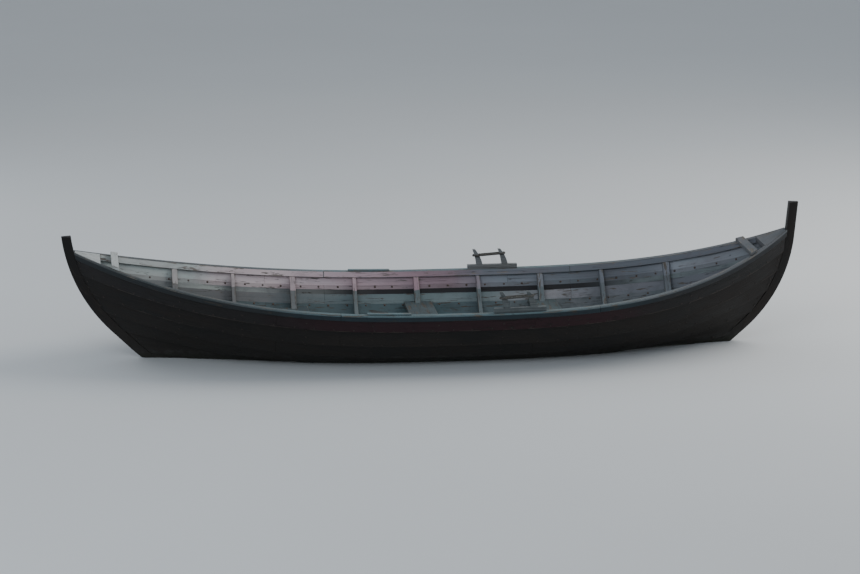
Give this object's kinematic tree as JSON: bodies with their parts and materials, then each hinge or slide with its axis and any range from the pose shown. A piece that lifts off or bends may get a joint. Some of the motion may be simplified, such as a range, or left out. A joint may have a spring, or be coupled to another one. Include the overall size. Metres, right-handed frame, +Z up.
{
  "type": "clinker rowing boat",
  "caption": "Double-ended clinker rowing boat with tall stems, tarred planks, a painted upper strake, thwarts and wooden rowlocks.",
  "frame": {"origin": "on the waterline of the empty boat, in the centre plane, midway between the stems", "axes": "+X towards the bow, +Y to port, +Z up"},
  "size_m": [5.1893, 1.4934, 1.18],
  "materials": {
    "tarred_planks": "tarred, weathered satin",
    "tarred_timber": "tarred, worn matt",
    "sheer_paint": "faded oil paint, weathered",
    "frame_wood": "tar-washed, weathered matt",
    "board_wood": "bare weathered wood, worn matt",
    "keip_wood": "tarred, worn smooth"
  },
  "bodies": {
    "root": {"beam_aft": "frame_wood", "beam_fore": "frame_wood", "beam_middle": "frame_wood", "breasthook_bow": "frame_wood", "breasthook_stern": "frame_wood", "end_beam_bow": "frame_wood", "end_beam_stern": "frame_wood", "end_frame_bow": "frame_wood", "end_frame_stern": "frame_wood", "floorboard_bilge_port": "board_wood", "floorboard_bilge_starboard": "board_wood", "floorboard_middle": "board_wood", "floorboard_side_port": "board_wood", "floorboard_side_starboard": "board_wood", "forefoot_bow": "tarred_timber", "forefoot_stern": "tarred_timber", "frame_aft": "frame_wood", "frame_fore": "frame_wood", "frame_middle": "frame_wood", "inwale_port": "frame_wood", "inwale_starboard": "frame_wood", "keel": "tarred_timber", "keip_port": "keip_wood", "keip_starboard": "keip_wood", "rail_port": "sheer_paint", "rail_starboard": "sheer_paint", "rib_1": "frame_wood", "rib_2": "frame_wood", "rib_3": "frame_wood", "rib_4": "frame_wood", "rowing_pad_port": "keip_wood", "rowing_pad_starboard": "keip_wood", "stem_bow": "tarred_timber", "stem_stern": "tarred_timber", "strake_1_port": "tarred_planks", "strake_1_starboard": "tarred_planks", "strake_2_port": "tarred_planks", "strake_2_starboard": "tarred_planks", "strake_3_port": "tarred_planks", "strake_3_starboard": "tarred_planks", "strake_4_port": "tarred_planks", "strake_4_starboard": "tarred_planks", "strake_5_port": "tarred_planks", "strake_5_starboard": "tarred_planks", "strake_6_port": "sheer_paint", "strake_6_starboard": "sheer_paint", "thwart_aft": "board_wood", "thwart_fore": "board_wood", "thwart_middle": "board_wood"}
  },
  "joints": []
}
